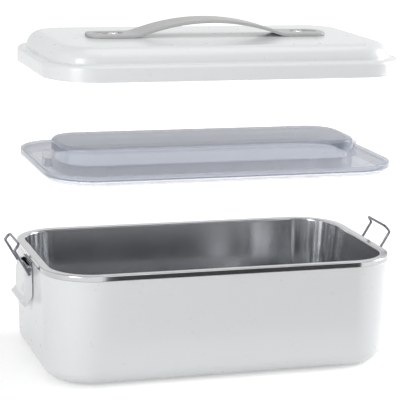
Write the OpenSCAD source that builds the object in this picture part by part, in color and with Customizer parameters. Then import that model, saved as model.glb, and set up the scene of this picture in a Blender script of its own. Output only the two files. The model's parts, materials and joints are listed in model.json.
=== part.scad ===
// Electric lunch box: a steel tray in a white heated case, a clear inner cover and a lift-off lid.
// The cover and the lid are drawn raised above the case, one over the other.
// Origin: centre of the footprint on the surface it stands on. X runs along the box, -Y is the front.

/* [Case] */
// Length of the case over its end walls
case_l = 240; // [228:1:280]
// Depth of the case from front to back
case_w = 138; // [130:1:160]
// Corner radius of the case seen from above
corner_r = 33; // [31:0.5:36]
// Height of the white shell, from its underside to the shoulder under the steel rim
shell_h = 70.2; // [66:0.2:90]
// Wall thickness of the shell
shell_t = 2.4; // [2.2:0.1:2.8]
// How far each wall leans in between the shoulder and the underside
shell_lean = 2; // [1:0.1:3]
// Radius of the rounded bottom edge
bottom_r = 10; // [8:0.5:11]
// Height of the tongue that stands inside the steel rim
tongue_h = 2.5; // [1.5:0.1:2.6]

/* [Bottom] */
// Distance from the outside of the case in to the edge of the bottom cover
cover_inset = 18; // [16:0.5:20]
// Thickness of the bottom cover
bottom_t = 2; // [1.8:0.1:2.4]
// Width of the shell's ledge over the bottom cover
ledge_w = 4; // [3:0.5:5]
// Thickness of the shell's ledge over the bottom cover
ledge_t = 1.2; // [0.8:0.1:1.4]
// Radius of each rubber foot
foot_r = 6; // [5:0.5:7]
// How far the feet stand out below the case
foot_h = 1.5; // [1:0.1:4]
// Depth of the pockets that hold the feet
foot_pocket = 0.5; // [0.3:0.1:0.8]
// Distance between the feet along the case
foot_span_x = 160; // [150:1:176]
// Distance between the feet from front to back
foot_span_y = 60; // [50:1:70]
// Radius of the screw bosses in the corners
boss_r = 3.6; // [3.2:0.1:4]
// Height of the screw bosses above the bottom cover
boss_h = 5; // [4:0.5:6]
// Distance from a corner's centre out to its screw
screw_out = 11.5; // [10.5:0.5:12]
// Radius of the bottom screws' shanks
screw_r = 1.25; // [1:0.05:1.5]
// Radius of the bottom screws' heads
screw_head_r = 2.6; // [2.2:0.1:3]
// Height of the bottom screws' heads
screw_head_h = 1.3; // [1:0.1:1.4]
// Thickness of the heat shield
shield_t = 0.6; // [0.5:0.1:1]
// Distance from the outside of the case in to the heat shield's edge
shield_inset = 11; // [10:0.5:13]

/* [Steel tray] */
// Thickness of the steel sheet
steel_t = 0.8; // [0.6:0.1:0.9]
// Height of the rim's outer lip above the shell's shoulder
rim_h = 3.6; // [3.4:0.1:4.5]
// Width of the rim, from outside to the tray's inner wall
rim_w = 5.6; // [5.2:0.1:6.5]
// Radius of the rim's outer edge
rim_edge_r = 1.3; // [1:0.1:1.6]
// Height of the tray's floor above the shell's underside
tray_rise = 24.8; // [24.8:0.1:30]
// How far the tray's walls lean in over the depth
tray_lean = 4; // [2:0.5:6]
// Radius between the tray's walls and floor
tray_floor_r = 12; // [9:0.5:14]

/* [Heater] */
// Length of the aluminium heating plate
plate_l = 150; // [144:1:170]
// Depth of the heating plate
plate_w = 76; // [68:1:90]
// Thickness of the heating plate
plate_t = 3; // [2:0.1:4]
// Distance between the tray's welded studs along the case
stud_span_x = 128; // [124:1:132]
// Distance between the welded studs from front to back
stud_span_y = 54; // [52:1:58]
// Radius of the welded studs
stud_r = 2; // [1.5:0.1:2.2]
// Height of the nuts on the studs
stud_nut_h = 2.4; // [2:0.1:3]
// Width across the corners of the nuts on the studs
stud_nut_d = 8.1; // [7:0.1:9]
// Length of the heating element
heater_l = 90; // [80:1:96]
// Depth of the heating element
heater_w = 24; // [20:0.5:26]
// Thickness of the heating element
heater_t = 5; // [4:0.1:5.5]
// Corner radius of the heating plate
plate_corner = 10; // [6:0.5:14]
// Place of the heating element's middle along the case
heater_x = -5; // [-7:0.5:-3]
// Length of the element's two terminal tabs
terminal_l = 6; // [5:0.5:7]
// Width of each terminal tab
terminal_w = 4; // [3:0.5:4.8]
// Thickness of each terminal tab
terminal_t = 0.6; // [0.4:0.1:0.8]
// Distance between the terminal tabs
terminal_gap = 12; // [10:0.5:14]
// Width of the spring clamp along the case
clamp_l = 14; // [10:0.5:16]
// Sheet thickness of the spring clamp
clamp_t = 0.8; // [0.6:0.1:1]
// Length of each foot of the clamp
clamp_foot = 9; // [8:0.5:10]
// Place of the clamp's middle along the case
clamp_x = -15; // [-18:0.5:-13]
// Shank radius of the clamp's screws
clamp_screw_r = 1.5; // [1.2:0.1:1.6]
// Head radius of the clamp's screws
clamp_head_r = 2.6; // [2.2:0.1:3]
// Head height of the clamp's screws
clamp_head_h = 1.6; // [1.2:0.1:2]
// Place of the thermostat along the case
thermostat_x = 58; // [56:0.5:59]
// Radius of the thermostat
thermostat_r = 8; // [7:0.5:8.5]
// Height of the thermostat
thermostat_h = 9; // [8:0.5:9.5]
// Length of the thermal fuse
fuse_l = 14; // [12:0.5:16]
// Width of the thermal fuse
fuse_w = 6; // [5:0.5:7]
// Height of the thermal fuse
fuse_h = 4.5; // [4:0.1:5]
// Distance of the thermal fuse in front of the middle
fuse_y = 26; // [25.5:0.1:28]

/* [Power inlet] */
// Width of the inlet's mouth
inlet_w = 22; // [20:0.5:24]
// Height of the inlet's mouth
inlet_h = 11; // [10:0.5:11.5]
// Height of the inlet's middle above the shell's underside
inlet_rise = 15; // [14.5:0.5:15.5]
// Wall thickness around the inlet's socket
inlet_t = 2; // [1.5:0.1:2.2]
// Depth of the inlet's socket
socket_depth = 11; // [9:0.5:12]
// Depth of the inlet's body behind its socket
inlet_body = 8; // [6:0.5:8.5]
// How far the inlet's mouth stands out of the wall
inlet_proud = 0.6; // [0.2:0.1:1]
// Distance between the inlet's pins
pin_gap = 8.6; // [8:0.1:9]
// Radius of the inlet's pins
pin_r = 1.2; // [1:0.1:1.3]
// Radius of the indicator's lens
lens_r = 2.5; // [2.2:0.1:3]
// Distance from the inlet to the indicator
lens_gap = 24; // [22:1:30]

/* [Latch] */
// Half of the lever's width
lever_half = 14; // [13:0.5:15]
// Thickness of the lever's walls
lever_t = 1.5; // [1.3:0.1:1.6]
// Height of the lever's pin below the rim's top
pin_drop = 7.6; // [7:0.1:8.5]
// Distance of the lever's pin out from the end of the case
pin_out = 2.3; // [2.2:0.1:2.6]
// Radius of the lever's pin
lever_pin_r = 0.9; // [0.8:0.05:1]
// Length of the lever below its pin
lever_l = 26; // [24:0.5:30]
// How far the finger tab stands out from the lever
tab_out = 3.2; // [2:0.1:4]
// Distance of the bail's pivot below the lever's pin
bail_drop = 3.2; // [3:0.1:3.4]
// Wire radius of the bail
wire_r = 0.9; // [0.8:0.05:1]
// Half of the distance between the middles of the bail's arms
bail_half = 16; // [15.6:0.1:17]
// Lean of the open bail, outwards from upright
bail_open = 30.7; // [20:0.1:40]
// Angle at which the bail's hook is bent back towards the lid
hook_bend = 70; // [66:1:74]
// Length of the bail's hook
hook_l = 5; // [4.8:0.1:5.4]
// Bend radius of the bail's corners
bail_bend_r = 3; // [2:0.1:3.4]
// Thickness of the latch bracket's steel
bracket_t = 1; // [0.8:0.1:1.1]
// Height of the latch bracket
bracket_h = 14; // [13:0.5:18]
// Radius of the bracket's rivets
rivet_r = 1.5; // [1.2:0.1:1.8]
// Distance between the bracket's rivets
rivet_gap = 12; // [10:0.5:13]

/* [Clear cover] */
// Height at which the raised cover's underside is drawn
cover_z = 133.9; // [128:0.1:150]
// Gap between the cover's edge and the inside of the lid
cover_gap = 0.6; // [0.4:0.1:1]
// Thickness of the clear plastic
clear_t = 1.6; // [1.4:0.1:1.8]
// Thickness of the gasket under the cover's flange
gasket_t = 1.6; // [1.2:0.1:1.8]
// Height of the cover over its gasket's underside
cover_h = 16.4; // [14:0.1:16.6]
// Height of the cover's turned-down edge
cover_edge_h = 3.6; // [1.8:0.1:4.5]
// Radius of the edge's rounding
cover_edge_r = 0.8; // [0.4:0.1:1.2]
// Distance from the cover's ends in to its raised middle
raised_end = 15.8; // [15.8:0.1:22]
// Distance from the cover's front and back edges in to its raised middle
raised_side = 35.3; // [30:0.1:38]
// Corner radius of the raised middle
raised_r = 20; // [12:0.5:24]
// Radius of the raised middle's top edge
raised_edge_r = 2.4; // [2:0.1:3]
// Radius of the vent plugs' caps
vent_r = 4.3; // [3.5:0.1:4.5]
// Height of the vent plugs' caps
vent_h = 5.3; // [4:0.1:5.4]
// Distance from the cover's ends in to the middle of each vent plug
vent_in = 10.8; // [10.2:0.1:10.9]
// Radius of the vent plugs' stems
vent_stem_r = 2.4; // [2:0.1:2.8]
// How far a vent plug lifts
vent_lift = 3; // [2:0.1:4]

/* [Lid] */
// Height at which the raised lid's lower edge is drawn
lid_z = 198.2; // [190:0.1:215]
// Wall thickness of the lid
lid_t = 1.6; // [1.4:0.1:1.8]
// Height of the lid's skirt
skirt_h = 10.1; // [9.9:0.1:12]
// Height of the lid over its top
lid_h = 20.3; // [20.2:0.1:24]
// Width of the ledge around the lid
lid_ledge = 6; // [5.5:0.1:7]
// Radius of the skirt's top edge
skirt_edge_r = 2.4; // [2:0.1:3]
// Depth of the grooves that the bails sit in
groove_d = 0.5; // [0.3:0.1:0.8]

/* [Handle] */
// Length of the strap over its ends
strap_l = 164; // [150:1:176]
// Width of the strap
strap_w = 25; // [20:0.5:30]
// Thickness of the strap
strap_t = 2.3; // [1.8:0.1:3]
// Length of the strap's arch
arch_l = 100; // [90:1:105]
// Clear height under the strap's arch
arch_h = 9.4; // [7:0.1:18]
// Corner radius of the strap's ends
strap_end_r = 8; // [4:0.5:9]
// Distance between the strap's screws
strap_screws = 129; // [125:1:133]
// Length of the recess around each strap screw
recess_l = 20; // [17:0.5:22]
// Depth of the recess from front to back
recess_w = 12; // [9:0.5:14]
// How deep the recess is pressed in
recess_d = 0.7; // [0.4:0.1:1]
// Radius of the strap screws' heads
strap_head_r = 3.5; // [3:0.1:4]
// Radius of the strap screws' shanks
strap_screw_r = 2; // [1.6:0.1:2.2]
// Height of the nuts inside the lid
strap_nut_h = 1.3; // [1:0.1:1.4]

/* [Hidden] */
$fn = 64;

// Clearances between pieces
seat_gap = 0.05;
fit_gap = 0.2;
touch_gap = 0.3;
run_gap = 0.06;
knuckle = 0.06;
over = 1;

// Heights of the case
shell_z = foot_h;
shoulder_z = shell_z + shell_h;
rim_z = shoulder_z + rim_h;
tray_floor_z = shell_z + tray_rise;
plate_top_z = tray_floor_z - steel_t;
plate_z = plate_top_z - plate_t;
boss_z = shell_z + bottom_t;
shield_z = boss_z + boss_h;

// Corner centres, shared by every outline that follows the case
corner_x = case_l / 2 - corner_r;
corner_y = case_w / 2 - corner_r;
cover_edge = corner_r - cover_inset;
tray_edge = corner_r - rim_w;
lean_angle = atan(shell_lean / shell_h);
screw_d = screw_out * cos(45);

// Latch, seen from the end of the case: distance out, height
pin_u = pin_out;
pin_v = rim_z - pin_drop;
bail_u = pin_u + 0.3;
bail_v = pin_v - bail_drop;
pivot_r = 1.9;
ear_r = pivot_r - 0.1;
ear_out = lever_half - lever_t - 0.7;
ledge_z = rim_z + skirt_h;
bar_rest_v = ledge_z - groove_d + wire_r + touch_gap;
bail_arm_l = bar_rest_v - bail_v - hook_l * cos(hook_bend);
groove_u = hook_l * sin(hook_bend) - bail_u;

// Inlet and indicator on the back wall
inlet_z = shell_z + inlet_rise;
back_y = case_w / 2 - shell_lean * (1 - inlet_rise / shell_h);
inlet_front_y = back_y + inlet_proud;
socket_y = inlet_front_y - socket_depth;
inlet_inner_y = back_y - shell_t - 0.7;
inlet_back_y = socket_y - inlet_body;
tail_y = inlet_back_y - 4;

// Cover and lid
flange_edge = corner_r - lid_t - cover_gap;
raised_x = corner_x + flange_edge - raised_end - raised_r;
raised_y = corner_y + flange_edge - raised_side - raised_r;
vent_x = corner_x + flange_edge - vent_in;
flange_z = cover_z + gasket_t;
flange_top_z = flange_z + cover_edge_h;
flange_low_z = flange_top_z - clear_t;
lid_top_z = lid_z + lid_h;
dome_r = lid_h - skirt_h;
dome_edge = corner_r - lid_ledge;
arch_r = (pow(arch_l / 2, 2) + pow(arch_h, 2)) / (2 * arch_h);
strap_head_h = 1.4;
washer_t = 0.5;
lever_pin_head = 0.5;
lens_flange = 1.1;
lens_wall = 0.8;
lens_bore = 1.6;
lamp_back = 6;
lead_r = 0.9;

// Leads inside the case, from piece to piece, over the heat shield
terminal_z = plate_z - 2.4;
fuse_z = plate_z - fuse_h / 2;
fuse_x = fuse_l - 2;
blade_z = shield_z + 3.5;
blade_y = thermostat_r - 2.2;
blade_x = thermostat_x;
tab_x = heater_x - heater_l / 2 - terminal_l;
tab_y = terminal_gap / 2;
lead_live = [[pin_gap / 2, tail_y, inlet_z], [pin_gap / 2, 36, inlet_z], [30, 30, blade_z],
    [blade_x, 16, blade_z], [blade_x, blade_y, blade_z]];
lead_limited = [[blade_x, -blade_y, blade_z], [blade_x, -14, blade_z], [40, -fuse_y, 14],
    [fuse_x + 10, -fuse_y, fuse_z], [fuse_x, -fuse_y, fuse_z]];
lead_heater = [[-2, -fuse_y, fuse_z], [-30, -fuse_y, fuse_z], [tab_x - 6, -14, terminal_z],
    [tab_x - 6, -tab_y, terminal_z], [tab_x, -tab_y, terminal_z]];
lead_return = [[tab_x, tab_y, terminal_z], [tab_x - 6, tab_y, terminal_z], [tab_x - 6, 14, terminal_z],
    [-40, 34, 14], [-pin_gap / 2, 36, inlet_z], [-pin_gap / 2, tail_y, inlet_z]];

// Outlines

// Rounded rectangle with true arcs
module rounded_rect(l, w, r) {
    square([l, w - 2 * r], center = true);
    square([l - 2 * r, w], center = true);
    for (sx = [-1, 1], sy = [-1, 1]) translate([sx * (l / 2 - r), sy * (w / 2 - r)]) circle(r);
}

// Flat plate whose edge lies `edge` away from the case's corner centres
module corner_plate(edge, h) {
    linear_extrude(h) rounded_rect(2 * (corner_x + edge), 2 * (corner_y + edge), edge);
}

// Runs an outline round a rounded rectangle whose corner centres are at cx, cy.
// The outline's x is the distance out from a corner centre and its y is the height.
module run_round(cx, cy) {
    for (mx = [0, 1], my = [0, 1])
        mirror([mx, 0, 0]) mirror([0, my, 0]) translate([cx, cy, 0]) rotate_extrude(angle = 90) children();
    for (my = [0, 1])
        mirror([0, my, 0]) translate([-cx, cy, 0]) rotate([90, 0, 90]) linear_extrude(2 * cx) children();
    for (mx = [0, 1])
        mirror([mx, 0, 0]) translate([cx, cy, 0]) rotate([90, 0, 0]) linear_extrude(2 * cy) children();
}

// Section of a tub with leaning walls and a rounded floor edge, filled in to x = 0
module tub_section(top_x, z0, z1, lean, r) {
    a = atan(lean / (z1 - z0));
    cx = top_x - lean + r * tan(a) - r / cos(a);
    polygon([[0, z0], [cx, z0], [cx, z0 + r], [cx + r * cos(a), z0 + r - r * sin(a)], [top_x, z1], [0, z1]]);
    intersection() {
        translate([cx, z0 + r]) circle(r);
        translate([cx, z0]) square([r, r]);
    }
}

// Section of a flat-topped form with a rounded outer edge, filled in to x = 0
module capped_section(edge_x, z0, z1, r) {
    translate([0, z0]) square([edge_x, z1 - z0 - r]);
    translate([0, z0]) square([edge_x - r, z1 - z0]);
    translate([edge_x - r, z1 - r]) circle(r);
}

// Slot outline of total length l and width w along x
module slot(l, w) {
    square([l - w, w], center = true);
    for (s = [-1, 1]) translate([s * (l - w) / 2, 0]) circle(w / 2);
}

// Straight round bar from a to b
module rod(a, b, r) {
    v = b - a;
    translate(a) rotate([0, acos(v[2] / norm(v)), atan2(v[1], v[0])]) cylinder(h = norm(v), r = r);
}

// Stiff lead along a list of points, with a knuckle at each bend
module lead(points) {
    last = len(points) - 1;
    for (i = [1 : last]) rod(points[i - 1], points[i], lead_r, $fn = 24);
    for (i = [1 : last - 1]) translate(points[i]) sphere(lead_r + knuckle, $fn = 24);
}

// Places an outline drawn as distance out and height at the right end, or mirrored at the left
module at_end(side) {
    mirror([side < 0 ? 1 : 0, 0, 0]) translate([case_l / 2, 0, 0]) rotate([90, 0, 0]) children();
}

// Distance of the end wall's face from the case's end at height z, never positive
function wall_u(z) = -shell_lean * (shoulder_z - z) / shell_h;

// Case

module outer_shell() {
    color("white") difference() {
        union() {
            run_round(corner_x, corner_y) difference() {
                union() {
                    tub_section(corner_r, shell_z, shoulder_z, shell_lean, bottom_r);
                    square([corner_r - steel_t - seat_gap, shoulder_z + tongue_h]);
                }
                tub_section(corner_r - shell_t, boss_z + ledge_t, shoulder_z + tongue_h, shell_lean,
                    bottom_r - shell_t);
                translate([0, shoulder_z]) square([corner_r - shell_t, tongue_h + over]);
                translate([0, -over]) square([cover_edge + fit_gap, over + boss_z]);
                translate([0, -over]) square([corner_r, over + shell_z]);
                square([cover_edge - ledge_w, shoulder_z]);
            }
            screw_places() translate([0, 0, boss_z]) cylinder(h = boss_h, r = boss_r);
        }
        screw_places() translate([0, 0, boss_z - over]) cylinder(h = boss_h + 2 * over, r = screw_r + seat_gap);
        translate([0, case_w / 2 + over, inlet_z]) rotate([90, 0, 0])
            linear_extrude(case_w / 2 - inlet_inner_y + 2) slot(inlet_w + 2 * fit_gap, inlet_h + 2 * fit_gap);
        translate([lens_gap, case_w / 2 + over, inlet_z]) rotate([90, 0, 0])
            cylinder(h = case_w / 2 - inlet_inner_y + 2, r = lens_r + seat_gap);
        for (sx = [-1, 1]) at_end(sx) rivet_places() cylinder(h = 4 * shell_t, r = rivet_r + seat_gap, center = true);
    }
}

module steel_tray() {
    color("silver") {
        run_round(corner_x, corner_y) difference() {
            union() {
                tub_section(tray_edge + steel_t, plate_top_z, rim_z - steel_t / 2, tray_lean, tray_floor_r + steel_t);
                difference() {
                    capped_section(corner_r, shoulder_z, rim_z, rim_edge_r);
                    capped_section(corner_r - steel_t, shoulder_z - over, rim_z - steel_t, rim_edge_r - steel_t);
                }
            }
            tub_section(tray_edge, tray_floor_z, rim_z, tray_lean, tray_floor_r);
            translate([0, rim_z - seat_gap]) square([tray_edge, over]);
        }
        translate([-corner_x, -corner_y, plate_top_z]) cube([2 * corner_x, 2 * corner_y, steel_t]);
        stud_places() translate([0, 0, plate_z - stud_nut_h - 0.6])
            cylinder(h = plate_t + stud_nut_h + 0.6 + steel_t / 2, r = stud_r);
    }
}

module stud_places() {
    for (sx = [-1, 1], sy = [-1, 1]) translate([sx * stud_span_x / 2, sy * stud_span_y / 2, 0]) children();
}

module foot_places() {
    for (sx = [-1, 1], sy = [-1, 1]) translate([sx * foot_span_x / 2, sy * foot_span_y / 2, 0]) children();
}

module screw_places() {
    for (sx = [-1, 1], sy = [-1, 1])
        translate([sx * (corner_x + screw_d), sy * (corner_y + screw_d), 0]) children();
}

module bottom_cover() {
    color("whitesmoke") difference() {
        translate([0, 0, shell_z]) corner_plate(cover_edge, bottom_t);
        foot_places() translate([0, 0, shell_z - over]) cylinder(h = over + foot_pocket, r = foot_r + fit_gap);
        screw_places() {
            translate([0, 0, shell_z - over]) cylinder(h = over + screw_head_h + 0.2, r = screw_head_r + fit_gap);
            translate([0, 0, shell_z]) cylinder(h = bottom_t + over, r = screw_r + fit_gap);
        }
    }
}

module rubber_feet() {
    color("dimgray") foot_places() {
        translate([0, 0, foot_h / 2]) cylinder(h = foot_h / 2 + foot_pocket, r = foot_r);
        cylinder(h = foot_h / 2, r1 = foot_r - 0.6, r2 = foot_r);
    }
}

module bottom_screws() {
    head_z = shell_z + 0.2;
    color("silver") screw_places() difference() {
        union() {
            translate([0, 0, head_z]) cylinder(h = screw_head_h, r = screw_head_r);
            translate([0, 0, head_z]) cylinder(h = shield_z + shield_t + 1.2 - head_z, r = screw_r);
        }
        for (a = [0, 90]) translate([0, 0, head_z]) rotate(a) cube([screw_head_r * 1.2, 0.6, 1.2], center = true);
    }
}

module heat_shield() {
    color("lightgray") difference() {
        translate([0, 0, shield_z]) corner_plate(corner_r - shield_inset, shield_t);
        screw_places() translate([0, 0, shield_z - over]) cylinder(h = shield_t + 2 * over, r = screw_r + seat_gap);
    }
}

// Heater

module heating_plate() {
    color("gainsboro") difference() {
        translate([0, 0, plate_z]) linear_extrude(plate_t) rounded_rect(plate_l, plate_w, plate_corner);
        stud_places() translate([0, 0, plate_z - over]) cylinder(h = plate_t + 2 * over, r = stud_r + seat_gap);
        clamp_screw_places() translate([0, 0, plate_z - over]) cylinder(h = over + plate_t - 0.6, r = clamp_screw_r + seat_gap);
    }
}

module plate_nuts() {
    color("silver") stud_places() translate([0, 0, plate_z - stud_nut_h]) difference() {
        cylinder(h = stud_nut_h, d = stud_nut_d, $fn = 6);
        translate([0, 0, -over]) cylinder(h = stud_nut_h + 2 * over, r = stud_r + seat_gap);
    }
}

module heating_element() {
    color("goldenrod") {
        translate([heater_x, 0, plate_z - heater_t]) linear_extrude(heater_t) rounded_rect(heater_l, heater_w, 1.5);
        for (sy = [-1, 1])
            translate([tab_x, sy * tab_y - terminal_w / 2, terminal_z - terminal_t / 2])
                cube([terminal_l + 2, terminal_w, terminal_t]);
    }
}

// Spring clamp under the element, bent from one strip
module element_clamp() {
    half = heater_w / 2 + fit_gap;
    low = plate_z - heater_t - clamp_t;
    foot = plate_z - clamp_t;
    color("silver") difference() {
        translate([clamp_x - clamp_l / 2, 0, 0]) rotate([90, 0, 90]) linear_extrude(clamp_l) {
            translate([-half - clamp_t, low]) square([2 * (half + clamp_t), clamp_t]);
            for (m = [0, 1]) mirror([m, 0]) {
                translate([half, low]) square([clamp_t, foot + clamp_t - low]);
                translate([half, foot]) square([clamp_foot, clamp_t]);
            }
        }
        clamp_screw_places() translate([0, 0, foot - over]) cylinder(h = clamp_t + 2 * over, r = clamp_screw_r + seat_gap);
    }
}

module clamp_screw_places() {
    for (sy = [-1, 1]) translate([clamp_x, sy * (heater_w / 2 + clamp_t + clamp_foot / 2 + 0.4), 0]) children();
}

module clamp_screws() {
    color("silver") clamp_screw_places() {
        translate([0, 0, plate_z - clamp_t - clamp_head_h]) cylinder(h = clamp_head_h, r = clamp_head_r);
        translate([0, 0, plate_z - clamp_t - 1]) cylinder(h = clamp_t + 1 + plate_t - 0.8, r = clamp_screw_r);
    }
}

// Snap-disc thermostat with two terminals
module thermostat() {
    cap_h = 3;
    body_low = plate_z - thermostat_h;
    color("dimgray") translate([thermostat_x, 0, 0]) {
        translate([0, 0, plate_z - cap_h]) cylinder(h = cap_h, r = thermostat_r);
        translate([0, 0, body_low]) cylinder(h = thermostat_h, r = thermostat_r - 1);
        for (m = [0, 1]) mirror([0, m, 0]) translate([-2, blade_y - 0.8, blade_z - 1.8])
            cube([4, 0.8, body_low - blade_z + 1.8 + over]);
    }
}

module thermal_fuse() {
    color("ivory") translate([-2, -fuse_y - fuse_w / 2, plate_z - fuse_h]) cube([fuse_l, fuse_w, fuse_h]);
}

// Power inlet and indicator

module power_inlet() {
    socket_w = inlet_w - 2 * inlet_t;
    socket_h = inlet_h - 2 * inlet_t;
    color("dimgray") translate([0, 0, inlet_z]) difference() {
        union() {
            translate([0, inlet_front_y, 0]) rotate([90, 0, 0])
                linear_extrude(inlet_front_y - inlet_back_y) slot(inlet_w, inlet_h);
            translate([0, inlet_inner_y, 0]) rotate([90, 0, 0])
                linear_extrude(inlet_inner_y - inlet_back_y) rounded_rect(inlet_w + 5, inlet_h + 2, 2);
        }
        translate([0, inlet_front_y + over, 0]) rotate([90, 0, 0])
            linear_extrude(socket_depth + over) slot(socket_w, socket_h);
        pin_places() rotate([-90, 0, 0]) translate([0, 0, inlet_back_y - over])
            cylinder(h = inlet_body + 2 + 2 * over, r = pin_r + seat_gap);
    }
}

module pin_places() {
    for (s = [-1, 1]) translate([s * pin_gap / 2, 0, 0]) children();
}

module inlet_pins() {
    color("gold") translate([0, 0, inlet_z]) pin_places() {
        translate([0, tail_y, 0]) rotate([-90, 0, 0])
            cylinder(h = inlet_front_y - 2.5 - pin_r - tail_y, r = pin_r);
        translate([0, inlet_front_y - 2.5 - pin_r, 0]) sphere(pin_r);
    }
}

module indicator_lens() {
    color("gold") translate([lens_gap, inlet_inner_y, inlet_z]) rotate([-90, 0, 0]) difference() {
        union() {
            translate([0, 0, -lens_flange]) cylinder(h = lens_flange, r = lens_r + 1);
            cylinder(h = back_y - inlet_inner_y, r = lens_r);
            translate([0, 0, back_y - inlet_inner_y]) intersection() {
                translate([0, 0, 0.6 - lens_r * 2]) sphere(lens_r * 2);
                cylinder(h = lens_r, r = lens_r);
            }
        }
        translate([0, 0, -lens_flange - over]) cylinder(h = lens_flange + over + lens_bore, r = lens_r - lens_wall);
    }
}

module indicator_lamp() {
    lamp_r = lens_r - lens_wall - fit_gap;
    lamp_l = lamp_back + lens_bore - fit_gap - lamp_r;
    color("gold") translate([lens_gap, inlet_inner_y - lamp_back, inlet_z]) rotate([-90, 0, 0]) {
        cylinder(h = lamp_l, r = lamp_r);
        translate([0, 0, lamp_l]) sphere(lamp_r + knuckle);
    }
}

module lead_wires() {
    color("firebrick") {
        lead(lead_live);
        lead(lead_limited);
        lead(lead_heater);
        lead(lead_return);
    }
}

// Latches

module rivet_places() {
    for (s = [-1, 1]) translate([0, shoulder_z - bracket_h + 3, s * rivet_gap / 2]) rotate([0, 90, 0]) children();
}

// Back plate that follows the end wall, with two ears for the lever's pin
module latch_bracket(side) {
    z0 = shoulder_z - bracket_h;
    z1 = shoulder_z;
    color("silver") at_end(side) difference() {
        union() {
            linear_extrude(2 * ear_out, center = true)
                polygon([[wall_u(z0) + seat_gap, z0], [wall_u(z0) + seat_gap + bracket_t, z0],
                    [seat_gap + bracket_t, z1], [seat_gap, z1]]);
            for (s = [-1, 1]) translate([0, 0, s * (ear_out - bracket_t / 2)])
                linear_extrude(bracket_t, center = true) {
                    translate([pin_u, pin_v]) circle(ear_r);
                    polygon([[wall_u(pin_v - 4) + seat_gap + bracket_t / 2, pin_v - 4],
                        [pin_u + ear_r * cos(40), pin_v - ear_r * sin(40)],
                        [pin_u, pin_v + ear_r], [seat_gap + bracket_t / 2, pin_v + pivot_r + 0.8]]);
                }
        }
        translate([pin_u, pin_v, 0]) cylinder(h = 4 * lever_half, r = lever_pin_r + seat_gap / 2, center = true);
        rivet_places() cylinder(h = 4 * bracket_t, r = rivet_r + seat_gap, center = true);
    }
}

// Two rivets through the bracket and the shell's wall
module bracket_rivets(side) {
    v = shoulder_z - bracket_h + 3;
    face_u = wall_u(v) + seat_gap + bracket_t;
    back_u = wall_u(v) - shell_t - touch_gap;
    color("silver") at_end(side) rivet_places() {
        translate([0, 0, face_u + touch_gap / 3]) cylinder(h = 0.8, r1 = rivet_r + 1, r2 = rivet_r);
        translate([0, 0, back_u - 0.8]) cylinder(h = face_u + 1 - back_u, r = rivet_r);
        translate([0, 0, back_u - 1]) cylinder(h = 1, r = rivet_r + 1);
    }
}

module lever_pin(side) {
    color("silver") at_end(side) translate([pin_u, pin_v, 0]) {
        cylinder(h = 2 * lever_half + 0.4, r = lever_pin_r, center = true);
        for (m = [0, 1]) mirror([0, 0, m]) translate([0, 0, lever_half + 0.2]) cylinder(h = lever_pin_head, r = lever_pin_r + 0.5);
    }
}

// Lever's front wall and the same form filled back to the cheeks' inner edge
module lever_front() {
    low = pin_v - lever_l;
    polygon([[pin_u + 1.9, pin_v + 0.9], [pin_u + 3.1, pin_v - 2.5], [pin_u + 3.5, pin_v - 8],
        [pin_u + 3.6, low + 9], [pin_u + 3.6 + tab_out, low + 5.4], [pin_u + 3.4 + tab_out, low + 4.2],
        [pin_u + 2.4, low], [pin_u + 1.1, low + 0.4], [pin_u + 2.1, low + 9], [pin_u + 2, pin_v - 8],
        [pin_u + 1.6, pin_v - 3], [pin_u + 0.8, pin_v + 0.6]]);
}

module lever_cheek() {
    low = pin_v - lever_l;
    polygon([[pin_u + 1.2, pin_v + 1.2], [pin_u + 3.1, pin_v - 2.5], [pin_u + 3.5, pin_v - 8],
        [pin_u + 3.6, low + 9], [pin_u + 3.2, low + 3], [pin_u + 2.4, low], [pin_u + 1.1, low + 0.4],
        [touch_gap, low + 8], [touch_gap + 0.2, pin_v - 2]]);
    translate([pin_u, pin_v]) circle(pivot_r);
}

module latch_lever(side) {
    color("white") at_end(side) difference() {
        union() {
            linear_extrude(2 * lever_half, center = true) lever_front();
            for (s = [-1, 1]) translate([0, 0, s * (lever_half - lever_t / 2)])
                linear_extrude(lever_t, center = true) lever_cheek();
        }
        translate([pin_u, pin_v, 0]) cylinder(h = 4 * lever_half, r = lever_pin_r + run_gap, center = true);
        for (s = [-1, 1]) translate([bail_u, bail_v, s * (lever_half - lever_t / 2)])
            cylinder(h = lever_t + over, r = wire_r + run_gap, center = true);
        for (s = [-1, 1]) translate([pin_u, pin_v, s * (ear_out - bracket_t / 2)])
            cylinder(h = bracket_t + 2 * fit_gap, r = ear_r + fit_gap, center = true);
    }
}

// Bend of the bail's wire from +y towards -x, by angle, on a radius of bend
module wire_bend(bend, angle) {
    translate([-bend, 0, 0]) rotate_extrude(angle = angle) translate([bend, 0]) circle(wire_r);
}

// Half of the bail: a stub in the lever, an arm and the side of the hook, with a knuckle at each bend
module bail_half_wire() {
    stub_in = lever_half - lever_t + 0.1;
    leg = hook_l - bail_bend_r;
    knuckle_r = wire_r + knuckle;
    translate([0, 0, stub_in]) cylinder(h = bail_half - stub_in, r = wire_r);
    translate([0, 0, bail_half]) sphere(knuckle_r);
    translate([0, 0, bail_half]) rotate([-90, 0, 0]) cylinder(h = bail_arm_l, r = wire_r);
    translate([0, bail_arm_l, bail_half]) sphere(knuckle_r);
    translate([0, bail_arm_l, 0]) rotate(hook_bend) {
        translate([0, 0, bail_half]) rotate([-90, 0, 0]) cylinder(h = leg, r = wire_r);
        translate([0, leg, bail_half]) sphere(knuckle_r);
        translate([0, leg, bail_half]) rotate([0, -90, 0]) wire_bend(bail_bend_r, 90);
        translate([0, hook_l, bail_half - bail_bend_r]) sphere(knuckle_r);
    }
}

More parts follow.
